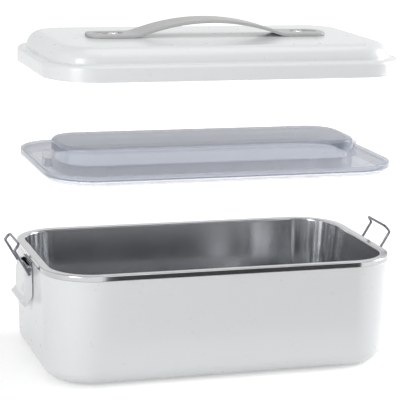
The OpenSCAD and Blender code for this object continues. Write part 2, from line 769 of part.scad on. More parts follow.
// Wire bail: two arms, a hook bent back from them and a bar that sits on the lid
module latch_bail(side) {
    color("silver") at_end(side) translate([bail_u, bail_v, 0]) rotate(-bail_open) {
        for (m = [0, 1]) mirror([0, 0, m]) bail_half_wire();
        translate([0, bail_arm_l, 0]) rotate(hook_bend) translate([0, hook_l, 0])
            cylinder(h = 2 * (bail_half - bail_bend_r), r = wire_r, center = true);
    }
}

// Clear cover

module clear_cover() {
    raised_z = cover_z + cover_h;
    color("lightblue", 0.5) difference() {
        union() {
            run_round(corner_x, corner_y) difference() {
                capped_section(flange_edge, flange_z, flange_top_z, cover_edge_r);
                translate([0, flange_z - over]) square([flange_edge - clear_t, flange_low_z - flange_z + over]);
            }
            translate([-corner_x, -corner_y, flange_low_z]) cube([2 * corner_x, 2 * corner_y, clear_t]);
            run_round(raised_x, raised_y) capped_section(raised_r, flange_low_z, raised_z, raised_edge_r);
            translate([-raised_x, -raised_y, flange_low_z])
                cube([2 * raised_x, 2 * raised_y, raised_z - flange_low_z]);
        }
        run_round(raised_x, raised_y)
            capped_section(raised_r - clear_t, flange_low_z - over, raised_z - clear_t, raised_edge_r - clear_t);
        translate([-raised_x, -raised_y, flange_low_z - over])
            cube([2 * raised_x, 2 * raised_y, raised_z - clear_t - flange_low_z + over]);
        for (side = [-1, 1]) vent_place(side) translate([0, 0, flange_low_z - over])
            cylinder(h = clear_t + 2 * over, r = vent_stem_r + run_gap);
    }
}

module vent_place(side) {
    translate([side * vent_x, 0, 0]) children();
}

// Flat seal under the flange, with a lip that drops inside the tray
module cover_gasket() {
    lip_edge = tray_edge - 0.5;
    color("gainsboro") run_round(corner_x, corner_y) {
        translate([lip_edge - 0.8, cover_z]) square([flange_edge - lip_edge + 0.8, gasket_t]);
        translate([lip_edge - 0.8, cover_z - 2]) square([0.8, 2 + gasket_t]);
    }
}

module vent_plug(side) {
    color("azure", 0.6) vent_place(side) {
        translate([0, 0, flange_top_z + seat_gap]) rotate_extrude() capped_section(vent_r, 0, vent_h, 1);
        translate([0, 0, flange_low_z - vent_lift - 0.3]) cylinder(h = vent_lift + clear_t + 1.3, r = vent_stem_r);
        translate([0, 0, flange_low_z - vent_lift - 1.3]) cylinder(h = 1, r1 = vent_stem_r, r2 = vent_stem_r + 0.9);
    }
}

// Lid

module lid_shell() {
    color("white") difference() {
        union() {
            run_round(corner_x, corner_y) difference() {
                union() {
                    capped_section(corner_r, lid_z, lid_z + skirt_h, skirt_edge_r);
                    capped_section(dome_edge, lid_z, lid_top_z, dome_r);
                }
                capped_section(corner_r - lid_t, lid_z - over, lid_z + skirt_h - lid_t, skirt_edge_r - lid_t);
                capped_section(dome_edge - lid_t, lid_z - over, lid_top_z - lid_t, dome_r - lid_t);
            }
            translate([-corner_x, -corner_y, lid_top_z - lid_t]) cube([2 * corner_x, 2 * corner_y, lid_t]);
        }
        strap_screw_places() translate([0, 0, lid_top_z - lid_t - over])
            cylinder(h = lid_t + 2 * over, r = strap_screw_r + seat_gap);
        for (sx = [-1, 1]) at_end(sx) translate([0, lid_z + skirt_h, 0])
            linear_extrude(2 * (bail_half + wire_r + touch_gap), center = true) groove_section();
    }
}

// Section of the groove under a bail's hook, measured from the ledge's outer corner
module groove_section() {
    inner_u = -groove_u - wire_r - touch_gap;
    polygon([[inner_u, over], [inner_u, -groove_d], [-groove_u, -groove_d],
        [over, -groove_d - (groove_u + over) / tan(hook_bend)], [over, over]]);
}

module strap_screw_places() {
    for (s = [-1, 1]) translate([s * strap_screws / 2, 0, 0]) children();
}

// Points along an arc about the z axis's foot, from left to right over the top
function arc_points(r, half_angle, count) =
    [for (i = [0 : count]) let (a = half_angle * (2 * i / count - 1)) [r * sin(a), r * cos(a)]];

// Side of the strap: an arch between two flat ends
module strap_side() {
    drop = arch_r - arch_h;
    under = arc_points(arch_r, acos(drop / arch_r), 40);
    over_top = arc_points(arch_r + strap_t, acos((drop + strap_t) / (arch_r + strap_t)), 40);
    polygon(concat([[-strap_l / 2, 0]], [for (p = under) [p[0], p[1] - drop]], [[strap_l / 2, 0], [strap_l / 2, strap_t]],
        [for (p = over_top) [-p[0], p[1] - drop]], [[-strap_l / 2, strap_t]]));
}

// Arched strap with rounded flat ends, a recess and a hole at each screw
module handle_strap() {
    color("darkgray") difference() {
        intersection() {
            translate([0, strap_w / 2, lid_top_z]) rotate([90, 0, 0]) linear_extrude(strap_w) strap_side();
            translate([0, 0, lid_top_z - over]) linear_extrude(arch_h + strap_t + 2 * over)
                rounded_rect(strap_l, strap_w, strap_end_r);
        }
        strap_screw_places() translate([0, 0, lid_top_z - over])
            cylinder(h = strap_t + 2 * over, r = strap_screw_r + seat_gap);
        for (s = [-1, 1]) translate([s * (strap_screws / 2 + 3), 0, lid_top_z + strap_t - recess_d])
            linear_extrude(recess_d + over) slot(recess_l, recess_w);
    }
}

module handle_screws() {
    head_z = lid_top_z + strap_t - recess_d;
    low_z = lid_top_z - lid_t - washer_t - strap_nut_h;
    cap_r = (pow(strap_head_r, 2) + pow(strap_head_h, 2)) / (2 * strap_head_h);
    color("silver") strap_screw_places() {
        translate([0, 0, head_z]) intersection() {
            translate([0, 0, strap_head_h - cap_r]) sphere(cap_r);
            cylinder(h = strap_head_h + over, r = strap_head_r + over);
        }
        translate([0, 0, low_z]) cylinder(h = head_z - low_z + 0.2, r = strap_screw_r);
    }
}

module handle_washers() {
    color("silver") strap_screw_places() translate([0, 0, lid_top_z - lid_t - washer_t]) difference() {
        cylinder(h = washer_t, r = strap_head_r + 1);
        translate([0, 0, -over]) cylinder(h = washer_t + 2 * over, r = strap_screw_r + seat_gap);
    }
}

module handle_nuts() {
    color("silver") strap_screw_places()
        translate([0, 0, lid_top_z - lid_t - washer_t - strap_nut_h]) difference() {
            cylinder(h = strap_nut_h, r = strap_head_r + 0.5, $fn = 6);
            translate([0, 0, -over]) cylinder(h = strap_nut_h + 2 * over, r = strap_screw_r + seat_gap);
        }
}

outer_shell();
steel_tray();
bottom_cover();
rubber_feet();
bottom_screws();
heat_shield();
heating_plate();
plate_nuts();
heating_element();
element_clamp();
clamp_screws();
thermostat();
thermal_fuse();
power_inlet();
inlet_pins();
indicator_lens();
indicator_lamp();
lead_wires();
latch_bracket(-1);  // latch_bracket_left
latch_bracket(1);  // latch_bracket_right
bracket_rivets(-1);  // bracket_rivets_left
bracket_rivets(1);  // bracket_rivets_right
lever_pin(-1);  // lever_pin_left
lever_pin(1);  // lever_pin_right
latch_lever(-1);  // latch_lever_left
latch_lever(1);  // latch_lever_right
latch_bail(-1);  // latch_bail_left
latch_bail(1);  // latch_bail_right
clear_cover();
cover_gasket();
vent_plug(-1);  // vent_plug_left
vent_plug(1);  // vent_plug_right
lid_shell();
handle_strap();
handle_screws();
handle_washers();
handle_nuts();
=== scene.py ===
import json
import math

import bmesh
import bpy
from mathutils import Matrix, Quaternion, Vector


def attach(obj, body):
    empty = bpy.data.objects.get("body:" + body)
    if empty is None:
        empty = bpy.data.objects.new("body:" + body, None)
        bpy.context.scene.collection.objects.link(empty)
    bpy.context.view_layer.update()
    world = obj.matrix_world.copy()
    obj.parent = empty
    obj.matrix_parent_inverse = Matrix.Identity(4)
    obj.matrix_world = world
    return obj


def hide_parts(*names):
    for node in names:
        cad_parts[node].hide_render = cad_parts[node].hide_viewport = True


# Electric lunch box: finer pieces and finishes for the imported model. X runs along the box, -Y is
# the front, and the box stands on z = 0. Lengths of the pieces are in millimetres, and MM turns
# them into metres. Pieces that follow the box's outline are rings: a profile of (distance out from
# the four corner centres, height), carried round the outline.

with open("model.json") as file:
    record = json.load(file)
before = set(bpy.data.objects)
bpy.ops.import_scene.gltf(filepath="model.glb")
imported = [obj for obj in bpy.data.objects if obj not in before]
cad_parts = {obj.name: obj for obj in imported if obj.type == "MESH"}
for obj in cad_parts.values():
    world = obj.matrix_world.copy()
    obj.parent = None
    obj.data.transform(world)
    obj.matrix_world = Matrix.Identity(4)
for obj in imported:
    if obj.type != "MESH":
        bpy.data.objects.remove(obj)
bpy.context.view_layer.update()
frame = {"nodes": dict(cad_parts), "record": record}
MM = 0.001

# Sizes that the finer pieces share with the CAD nodes they stand for
CASE_END = 120.0
CORNER = (87.0, 36.0)
CORNER_R = 33.0
SHELL_Z, SHOULDER_Z, RIM_Z = 1.5, 71.7, 75.3
PIN_U, PIN_V = 2.3, 67.7
BAIL_U, BAIL_V = 2.6, 64.5
WIRE_R = 0.9
COVER_RIM_Z, COVER_TOP_Z = 139.1, 150.3
RAISED = (82.0, 11.5)
LID_Z, LID_LEDGE_Z, LID_TOP_Z = 198.2, 208.3, 218.5
STRAP_SCREW_X = 64.5
VENT_X = 107.0
BAIL_ARM = 19.89
ARCH_R, ARCH_DROP, STRAP_T = 137.68, 128.28, 2.3
STRAP_FACE_Z = LID_TOP_Z + STRAP_T
SINK_DEPTH = 0.7


# ---------------------------------------------------------------- node groups and materials

def new_group(name, inputs, outputs):
    """An empty shader node group with named sockets, and its input and output nodes."""
    group = bpy.data.node_groups.new(name, "ShaderNodeTree")
    for label, kind, value in inputs:
        socket = group.interface.new_socket(name=label, in_out="INPUT", socket_type=kind)
        socket.default_value = value
    for label, kind in outputs:
        group.interface.new_socket(name=label, in_out="OUTPUT", socket_type=kind)
    return group, group.nodes.new("NodeGroupInput"), group.nodes.new("NodeGroupOutput")


def node_in(tree, kind, settings=None, **values):
    """Adds a node, sets its properties and then its input values by socket name."""
    made = tree.nodes.new(kind)
    for key, value in (settings or {}).items():
        setattr(made, key, value)
    for key, value in values.items():
        made.inputs[key.replace("_", " ")].default_value = value
    return made


def spread(tree, source, low, high, to_low, to_high):
    """Maps a value from one span to another, clamped."""
    made = node_in(tree, "ShaderNodeMapRange")
    labels = ("From Min", "From Max", "To Min", "To Max")
    for label, value in zip(labels, (low, high, to_low, to_high)):
        made.inputs[label].default_value = value
    tree.links.new(source, made.inputs["Value"])
    return made.outputs["Result"]


def build_skin_group():
    """Fine uneven skin of a moulding: a height for bump, and a soft mottled mask."""
    group, given, out = new_group(
        "moulded_skin",
        [("Grain Scale", "NodeSocketFloat", 900.0),
         ("Cloud Scale", "NodeSocketFloat", 170.0)],
        [("Height", "NodeSocketFloat"), ("Cloud", "NodeSocketFloat")],
    )
    place = group.nodes.new("ShaderNodeTexCoord")
    grain = node_in(group, "ShaderNodeTexNoise", Detail=2.0, Roughness=0.5)
    cloud = node_in(group, "ShaderNodeTexNoise", Detail=6.0, Roughness=0.65)
    link = group.links.new
    link(place.outputs["Object"], grain.inputs["Vector"])
    link(place.outputs["Object"], cloud.inputs["Vector"])
    link(given.outputs["Grain Scale"], grain.inputs["Scale"])
    link(given.outputs["Cloud Scale"], cloud.inputs["Scale"])
    link(grain.outputs["Fac"], out.inputs["Height"])
    link(spread(group, cloud.outputs["Fac"], 0.0, 1.0, 0.0, 1.0), out.inputs["Cloud"])
    return group


def build_brushed_group():
    """Drawn or brushed metal: fine streaks along one axis, and a slow mask of handling marks."""
    group, given, out = new_group(
        "brushed_streaks",
        [("Across", "NodeSocketVector", (60.0, 60.0, 2500.0)),
         ("Mark Scale", "NodeSocketFloat", 30.0)],
        [("Height", "NodeSocketFloat"), ("Marks", "NodeSocketFloat")],
    )
    place = group.nodes.new("ShaderNodeTexCoord")
    stretch = node_in(group, "ShaderNodeVectorMath", {"operation": "MULTIPLY"})
    streak = node_in(group, "ShaderNodeTexNoise", Scale=1.0, Detail=4.0, Roughness=0.6)
    marks = node_in(group, "ShaderNodeTexNoise", Detail=4.0, Roughness=0.55)
    link = group.links.new
    link(place.outputs["Object"], stretch.inputs[0])
    link(given.outputs["Across"], stretch.inputs[1])
    link(stretch.outputs["Vector"], streak.inputs["Vector"])
    link(place.outputs["Object"], marks.inputs["Vector"])
    link(given.outputs["Mark Scale"], marks.inputs["Scale"])
    link(streak.outputs["Fac"], out.inputs["Height"])
    link(spread(group, marks.outputs["Fac"], 0.25, 0.75, 0.0, 1.0), out.inputs["Marks"])
    return group


def build_rubbed_group():
    """Mask of edges that hands and the lid have rubbed, broken up by a coarse noise."""
    group, given, out = new_group(
        "rubbed_edges",
        [("Low", "NodeSocketFloat", 0.53), ("High", "NodeSocketFloat", 0.62)],
        [("Rubbed", "NodeSocketFloat")],
    )
    surface = group.nodes.new("ShaderNodeNewGeometry")
    place = group.nodes.new("ShaderNodeTexCoord")
    patches = node_in(group, "ShaderNodeTexNoise", Scale=60.0, Detail=2.0)
    span = node_in(group, "ShaderNodeMapRange")
    both = node_in(group, "ShaderNodeMath", {"operation": "MULTIPLY", "use_clamp": True})
    link = group.links.new
    link(place.outputs["Object"], patches.inputs["Vector"])
    link(surface.outputs["Pointiness"], span.inputs["Value"])
    link(given.outputs["Low"], span.inputs["From Min"])
    link(given.outputs["High"], span.inputs["From Max"])
    link(span.outputs["Result"], both.inputs[0])
    link(spread(group, patches.outputs["Fac"], 0.3, 0.7, 0.3, 1.0), both.inputs[1])
    link(both.outputs["Value"], out.inputs["Rubbed"])
    return group


SKIN = build_skin_group()
BRUSHED = build_brushed_group()
RUBBED = build_rubbed_group()
METAL_RELIEF = 0.00001


def new_material(name, **values):
    """A material with one Principled shader, its constant values on the shader's own sockets."""
    made = bpy.data.materials.new(name)
    made.use_nodes = True
    shader = made.node_tree.nodes["Principled BSDF"]
    for key, value in values.items():
        shader.inputs[key.replace("_", " ")].default_value = value
    made.diffuse_color = shader.inputs["Base Color"].default_value
    return made, made.node_tree, shader


def use_group(tree, group, **values):
    """Adds a shared group to a material and sets its inputs."""
    made = tree.nodes.new("ShaderNodeGroup")
    made.node_tree = group
    for key, value in values.items():
        made.inputs[key.replace("_", " ")].default_value = value
    return made


def blend_colours(tree, mask, first, second):
    """Colour that goes from first to second with a mask; first may be another node's output."""
    mix = node_in(tree, "ShaderNodeMix", {"data_type": "RGBA"})
    if isinstance(first, tuple):
        mix.inputs["A"].default_value = first
    else:
        tree.links.new(first, mix.inputs["A"])
    mix.inputs["B"].default_value = second
    tree.links.new(mask, mix.inputs["Factor"])
    return mix.outputs["Result"]


def bump(tree, shader, height, strength, depth):
    """Fine relief from a height, depth in metres."""
    made = node_in(tree, "ShaderNodeBump", Strength=strength, Distance=depth)
    tree.links.new(height, made.inputs["Height"])
    tree.links.new(made.outputs["Normal"], shader.inputs["Normal"])
    return made


def moulded(name, colour, second, roughness, worn=None, grain=900.0, depth=0.00002, **values):
    """Moulded plastic or rubber: a faint cloudy tint, rubbed edges, uneven gloss, a fine skin."""
    made, tree, shader = new_material(name, Base_Color=colour, Roughness=roughness[0], **values)
    skin = use_group(tree, SKIN, Grain_Scale=grain)
    cloud = skin.outputs["Cloud"]
    tinted = blend_colours(tree, cloud, colour, second)
    if worn:
        rubbed = use_group(tree, RUBBED)
        tinted = blend_colours(tree, rubbed.outputs["Rubbed"], tinted, worn)
    tree.links.new(tinted, shader.inputs["Base Color"])
    tree.links.new(spread(tree, cloud, 0, 1, *roughness), shader.inputs["Roughness"])
    bump(tree, shader, skin.outputs["Height"], 0.25, depth)
    return made


def metal(name, colour, second, roughness, across):
    """Metal with streaks along one axis and soft handling marks."""
    made, tree, shader = new_material(name, Base_Color=colour, Metallic=1.0, Roughness=roughness[0])
    streaks = use_group(tree, BRUSHED, Across=across)
    marks = streaks.outputs["Marks"]
    tree.links.new(blend_colours(tree, marks, colour, second), shader.inputs["Base Color"])
    tree.links.new(spread(tree, marks, 0, 1, *roughness), shader.inputs["Roughness"])
    bump(tree, shader, streaks.outputs["Height"], 0.3, METAL_RELIEF)
    return made


def clear(name, colour, second, roughness, wave=0.0002, **values):
    """Clear moulded plastic or silicone, faintly tinted, with a slightly wavy face."""
    made, tree, shader = new_material(name, Base_Color=colour, Roughness=roughness[0], **values)
    skin = use_group(tree, SKIN, Grain_Scale=45.0, Cloud_Scale=40.0)
    cloud = skin.outputs["Cloud"]
    tree.links.new(blend_colours(tree, cloud, colour, second), shader.inputs["Base Color"])
    tree.links.new(spread(tree, cloud, 0, 1, *roughness), shader.inputs["Roughness"])
    bump(tree, shader, skin.outputs["Height"], 0.12, wave)
    return made


# One finish for each material slot of the record: colour, second colour, span of roughness
MATERIALS = {
    "white_plastic": moulded(
        "gloss_white_plastic", (0.775, 0.79, 0.80, 1), (0.77, 0.786, 0.797, 1), (0.26, 0.3),
        worn=(0.79, 0.80, 0.81, 1), depth=0.000005, Coat_Weight=0.3, Coat_Roughness=0.1),
    "tray_steel": metal(
        "drawn_steel", (0.53, 0.535, 0.545, 1), (0.47, 0.475, 0.49, 1), (0.11, 0.18),
        (40.0, 40.0, 900.0)),
    "latch_steel": metal(
        "polished_wire", (0.19, 0.195, 0.21, 1), (0.14, 0.145, 0.16, 1), (0.08, 0.14),
        (900.0, 900.0, 60.0)),
    "screw_steel": metal(
        "plated_screw_steel", (0.72, 0.72, 0.72, 1), (0.6, 0.6, 0.6, 1), (0.1, 0.2),
        (700.0, 700.0, 700.0)),
    "heater_aluminium": metal(
        "mill_aluminium", (0.72, 0.72, 0.73, 1), (0.62, 0.62, 0.63, 1), (0.3, 0.42),
        (20.0, 1800.0, 20.0)),
    "element_film": moulded(
        "heat_proof_film", (0.42, 0.2, 0.03, 1), (0.34, 0.15, 0.02, 1), (0.3, 0.45)),
    "dark_plastic": moulded(
        "dark_moulded_plastic", (0.03, 0.03, 0.032, 1), (0.04, 0.04, 0.042, 1), (0.4, 0.5),
        worn=(0.07, 0.07, 0.075, 1)),
    "contact_brass": metal(
        "plated_brass", (0.72, 0.52, 0.22, 1), (0.6, 0.42, 0.18, 1), (0.2, 0.3),
        (60.0, 1500.0, 60.0)),
    "amber_lens": moulded(
        "amber_lens_plastic", (0.75, 0.24, 0.03, 1), (0.7, 0.2, 0.02, 1), (0.12, 0.18),
        Transmission_Weight=0.4),
    "lead_insulation": moulded(
        "silicone_lead_sleeve", (0.35, 0.03, 0.02, 1), (0.3, 0.025, 0.02, 1), (0.45, 0.55)),
    "foot_rubber": moulded(
        "foot_rubber_grey", (0.05, 0.05, 0.052, 1), (0.065, 0.065, 0.068, 1), (0.65, 0.8),
        worn=(0.11, 0.11, 0.11, 1), depth=0.00006),
    "clear_plastic": clear(
        "clear_tinted_plastic", (0.31, 0.345, 0.44, 1), (0.29, 0.325, 0.42, 1), (0.06, 0.11),
        Transmission_Weight=0.55, IOR=1.28, Alpha=0.62),
    "clear_silicone": clear(
        "clear_soft_silicone", (0.88, 0.90, 0.94, 1), (0.84, 0.86, 0.90, 1), (0.08, 0.14),
        wave=0.0001, Transmission_Weight=0.3, IOR=1.4, Alpha=0.4),
    "strap_grey": moulded(
        "strap_grey_silicone", (0.50, 0.505, 0.50, 1), (0.46, 0.465, 0.46, 1), (0.42, 0.52),
        worn=(0.58, 0.58, 0.575, 1), grain=1600.0, depth=0.00003),
}

# CAD nodes that no finer piece replaces keep their own mesh, with the finish of their slot
NODE_CREASE = 28
slot_of = {part["node"]: part["material_slot"] for part in frame["record"]["subparts"]}
for name, piece in frame["nodes"].items():
    piece.data.materials.clear()
    piece.data.materials.append(MATERIALS[slot_of[name]])
    piece.data.shade_smooth()
    piece.data.set_sharp_from_angle(angle=math.radians(NODE_CREASE))


# ---------------------------------------------------------------- mesh helpers

def arc(centre, radius, start, end, steps):
    """Points of an outline on an arc, angles in degrees."""
    made = []
    for i in range(steps + 1):
        angle = math.radians(start + (end - start) * i / steps)
        made.append((centre[0] + radius * math.cos(angle), centre[1] + radius * math.sin(angle)))
    return made


def ring(out, z, centres=CORNER, steps=16):
    """Closed ring at height z that runs `out` away from four corner centres."""
    points = []
    for sx, sy, start in ((1, 1, 0), (-1, 1, 90), (-1, -1, 180), (1, -1, 270)):
        for i in range(steps + 1):
            angle = math.radians(start + 90 * i / steps)
            points.append(Vector((sx * centres[0] + out * math.cos(angle),
                                  sy * centres[1] + out * math.sin(angle), z)) * MM)
    return points


def turned(profile, centre, steps=40):
    """Rings of a turned form about a vertical axis; the profile gives radius and height."""
    rows = []
    for radius, z in profile:
        rows.append([Vector((centre[0] + radius * math.cos(2 * math.pi * i / steps),
                             centre[1] + radius * math.sin(2 * math.pi * i / steps), z)) * MM
                     for i in range(steps)])
    return rows


def held(rows, closed=False):
    """Adds a ring close to each end of every long step, so that flat faces keep flat shading."""
    near, long = 0.25, 1.2
    made = []
    ends = rows[1:] + ([rows[0]] if closed else [])
    for row, after in zip(rows, ends):
        made.append(row)
        gap = sum((q - p).length for p, q in zip(row, after)) / len(row) / MM
        if gap > long:
            for share in (near / gap, 1 - near / gap):
                made.append([p.lerp(q, share) for p, q in zip(row, after)])
    return made if closed else made + [rows[-1]]


def add_rows(mesh, rows, closed=False):
    """Skins rings of equal count. A closed form joins last ring to first, others are capped."""
    verts = [[mesh.verts.new(point) for point in row] for row in rows]
    pairs = list(zip(verts, verts[1:]))
    if closed:
        pairs.append((verts[-1], verts[0]))
    for low, high in pairs:
        count = len(low)
        for i in range(count):
            mesh.faces.new((low[i], low[(i + 1) % count], high[(i + 1) % count], high[i]))
    if not closed:
        mesh.faces.new(verts[0][::-1])
        mesh.faces.new(verts[-1])


def add_prism(mesh, outline, half, place):
    """Extrudes an outline both ways and puts each point where place(u, v, w) says."""
    rows = [[place(u, v, w) for u, v in outline] for w in (-half, half)]
    add_rows(mesh, rows)


def plain_object(name, mesh):
    """Turns a bmesh into an object with outward normals."""
    bmesh.ops.recalc_face_normals(mesh, faces=mesh.faces)
    data = bpy.data.meshes.new(name)
    mesh.to_mesh(data)
    mesh.free()
    made = bpy.data.objects.new(name, data)
    bpy.context.scene.collection.objects.link(made)
    return made


def bake(piece):
    """Applies a piece's modifiers to its mesh."""
    seen = piece.evaluated_get(bpy.context.evaluated_depsgraph_get())
    data = bpy.data.meshes.new_from_object(seen)
    piece.modifiers.clear()
    piece.data = data


def combine(piece, mesh, operation):
    """Cuts a closed form out of a piece, or joins it on, for good."""
    tool = plain_object("shaping_tool", mesh)
    step = piece.modifiers.new("shape", "BOOLEAN")
    step.operation = operation
    step.solver = "EXACT"
    step.object = tool
    bake(piece)
    bpy.data.objects.remove(tool)


def soften(piece, width):
    """Rounds a piece's hard edges."""
    step = piece.modifiers.new("round", "BEVEL")
    step.width = width * MM
    step.segments = 3
    step.limit_method = "ANGLE"
    step.angle_limit = math.radians(35)
    step.harden_normals = False
    bake(piece)


def dress(piece, body, slot, *nodes, sharp=30):
    """Gives a piece its finish and its body, and hides the nodes it stands for; sharp is a crease
    angle.
    """
    piece.data.materials.clear()
    piece.data.materials.append(MATERIALS[slot])
    piece.data.shade_smooth()
    piece.data.set_sharp_from_angle(angle=math.radians(sharp))
    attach(piece, body)
    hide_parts(*nodes)


def disc_cutter(radius, centre, low, high):
    """Upright cylinder that cuts a round hole."""
    mesh = bmesh.new()
    add_rows(mesh, turned([(radius, low), (radius, high)], centre, 32))
    return mesh


def back_cutter(outline):
    """Form that cuts through the back wall: an outline in x and z, run along y."""
    mesh = bmesh.new()
    add_rows(mesh, [[Vector((x, y, z)) * MM for x, z in outline] for y in (60, 72)])
    return mesh


def at_end(side, u, v, w):
    """Point at the right (1) or left (-1) end, from its distance out, height and place across."""
    return Vector((side * (CASE_END + u), -w, v)) * MM


# ---------------------------------------------------------------- case and steel tray

def tub_wall(edge, low, high, lean, radius):
    """Rounded floor edge of a tub, ending where it runs into the leaning wall."""
    angle = math.atan(lean / (high - low))
    centre = edge - lean + radius * math.tan(angle) - radius / math.cos(angle)
    return arc((centre, low + radius), radius, -90, -math.degrees(angle), 8)


def build_outer_shell():
    """White tub: open in the floor, with a ledge for the bottom cover, and slots in its back."""
    wall, lean, floor_r, floor_inner_r, shoulder_r = 2.4, 2, 10, 7.6, 0.3
    tongue_z, tongue_out, seat_out = 74.2, 32.15, 30.6
    opening, ledge_out, ledge_low, ledge_top = 15.2, 11, 3.5, 4.7
    outside = tub_wall(CORNER_R, SHELL_Z, SHOULDER_Z, lean, floor_r)
    inside = tub_wall(CORNER_R - wall, ledge_top, tongue_z, lean, floor_inner_r)
    profile = [(opening, SHELL_Z)] + outside + [(32.6, 57.0), (32.985, 71.2)]
    profile += arc((CORNER_R - shoulder_r, SHOULDER_Z - shoulder_r), shoulder_r, 10, 90, 3)
    profile += [(tongue_out, SHOULDER_Z), (tongue_out, tongue_z), (seat_out, tongue_z)]
    profile += inside[::-1]
    profile += [(ledge_out, ledge_top), (ledge_out, ledge_low), (opening, ledge_low)]
    mesh = bmesh.new()
    add_rows(mesh, held([ring(out, z) for out, z in profile], closed=True), closed=True)
    shell = plain_object("white_outer_shell", mesh)

    slot_half, slot_r, inlet_z, lens_x, lens_r = 5.5, 5.7, 16.5, 24, 2.55
    slot = arc((slot_half, inlet_z), slot_r, -90, 90, 12)
    slot += arc((-slot_half, inlet_z), slot_r, 90, 270, 12)
    combine(shell, back_cutter(slot), "DIFFERENCE")
    combine(shell, back_cutter(arc((lens_x, inlet_z), lens_r, 0, 345, 23)), "DIFFERENCE")
    dress(shell, "case", "white_plastic", "outer_shell")


def build_steel_tray():
    """Pressed tray with a rolled rim that hangs over the shell's shoulder, and four studs."""
    floor_z, sheet, lean, floor_r, edge = 26.3, 0.8, 4, 12, 27.4
    middle, rim_r, roll_r, roll_inner_r = 0.5, 0.8, 1.3, 0.5
    inside = tub_wall(edge, floor_z, RIM_Z, lean, floor_r)
    outside = tub_wall(edge + sheet, floor_z - sheet, RIM_Z - sheet / 2, lean, floor_r + sheet)
    throat = [(25.3, 50.0), (27.3, 74.2), (27.42, 74.75), (27.65, 75.08)]
    lip = [(33, 71.95), (32.93, 71.8), (32.75, 71.75), (32.4, 71.75), (32.2, 71.95)]
    profile = [(middle, floor_z)] + inside + throat + [(28.1, RIM_Z), (29.5, RIM_Z)]
    profile += arc((CORNER_R - rim_r, RIM_Z - rim_r), rim_r, 90, 0, 6) + lip
    profile += arc((CORNER_R - roll_r, RIM_Z - roll_r), roll_inner_r, 0, 90, 4) + [(28.17, 74.5)]
    profile += outside[::-1] + [(middle, floor_z - sheet)]
    mesh = bmesh.new()
    add_rows(mesh, held([ring(out, z) for out, z in profile]))

    stud_x, stud_y, stud_r, stud_low, stud_chamfer, stud_root = 64, 27, 2.0, 19.5, 0.4, 0.2
    stud = [(stud_r - stud_chamfer, stud_low), (stud_r, stud_low + stud_chamfer),
            (stud_r, floor_z - sheet + stud_root)]
    for sx in (-1, 1):
        for sy in (-1, 1):
            add_rows(mesh, turned(stud, (sx * stud_x, sy * stud_y), 20))
    tray = plain_object("pressed_steel_tray", mesh)
    dress(tray, "case", "tray_steel", "steel_tray")


# ---------------------------------------------------------------- latches

def rounded_path(points, radii):
    """Path through points with each bend rounded to its radius."""
    steps = 8
    path = [points[0]]
    for before, at, after, radius in zip(points, points[1:], points[2:], radii):
        back, ahead = (before - at).normalized(), (after - at).normalized()
        angle = back.angle(ahead)
        centre = at + (back + ahead).normalized() * radius / math.sin(angle / 2)
        start = at + back * radius / math.tan(angle / 2) - centre
        end = at + ahead * radius / math.tan(angle / 2) - centre
        turn = start.rotation_difference(end)
        path += [centre + Quaternion().slerp(turn, i / steps) @ start for i in range(steps + 1)]
    return path + [points[-1]]


def wire_rows(path, radius):
    """Rings of a round wire along a path, without twist, with slightly rounded ends."""
    sides, end_size, end_run = 16, 0.7, 0.3
    last = len(path) - 1
    rows, up = [], None
    for i, point in enumerate(path):
        ahead = (path[min(i + 1, last)] - path[max(i - 1, 0)]).normalized()
        up = ahead.orthogonal() if up is None else up
        up = (up - ahead * up.dot(ahead)).normalized()
        across = ahead.cross(up)
        sizes = [(0.0, 1.0)]
        if i == 0:
            sizes = [(0.0, end_size), (end_run, 1.0)]
        if i == last:
            sizes = [(-end_run, 1.0), (0.0, end_size)]
        for shift, size in sizes:
            row = []
            for k in range(sides):
                angle = 2 * math.pi * k / sides
                row.append(point + ahead * shift * radius
                           + (up * math.cos(angle) + across * math.sin(angle)) * radius * size)
            rows.append(row)
    return rows


def build_bail(side, word):
    """Wire bail: its ends in the lever's cheeks, two arms, a hook and the bar for the ledge."""
    half, hook, end_w = 16.0, 5.0, 12.6
    lean, bend = math.radians(30.7), math.radians(70)
    end_bend, hook_bend, bar_bend = 1.5, 1.6, 3.0

    def place(along, back, w):
        """Point in the bail's own plane: along the arm, then back along the hook."""
        v = along + back * math.cos(bend)
        u = -back * math.sin(bend)
        turned_u = BAIL_U + u * math.cos(lean) + v * math.sin(lean)
        turned_v = BAIL_V - u * math.sin(lean) + v * math.cos(lean)
        return at_end(side, turned_u, turned_v, w)

    half_path = [(0, 0, end_w), (0, 0, half), (BAIL_ARM, 0, half), (BAIL_ARM, hook, half)]
    points = [place(*point) for point in half_path]
    points += [place(along, back, -w) for along, back, w in half_path[::-1]]
    bends = [end_bend, hook_bend, bar_bend]
    mesh = bmesh.new()
    path = rounded_path(points, [bend_r * MM for bend_r in bends + bends[::-1]])
    add_rows(mesh, wire_rows(path, WIRE_R * MM))
    bail = plain_object("wire_bail_" + word, mesh)
    dress(bail, "bail_" + word, "latch_steel", "latch_bail_" + word, sharp=60)


def smooth_outline(points):
    """Closed outline drawn smoothly through its points; a point marked True stays a corner."""
    steps = 4
    made = []
    count = len(points)
    for i in range(count):
        p0, p1, p2, p3 = (points[(i + k) % count] for k in (-1, 0, 1, 2))
        made.append(p1[:2])
        if len(p1) > 2 and len(p2) > 2:
            continue
        for k in range(1, steps):
            t = k / steps
            point = []
            for axis in (0, 1):
                a, b, c, d = p0[axis], p1[axis], p2[axis], p3[axis]
                if len(p1) > 2:
                    a = b
                if len(p2) > 2:
                    d = c
                point.append(0.5 * (2 * b + (c - a) * t + (2 * a - 5 * b + 4 * c - d) * t * t
                                    + (3 * b - a - 3 * c + d) * t ** 3))
            made.append(tuple(point))
    return made


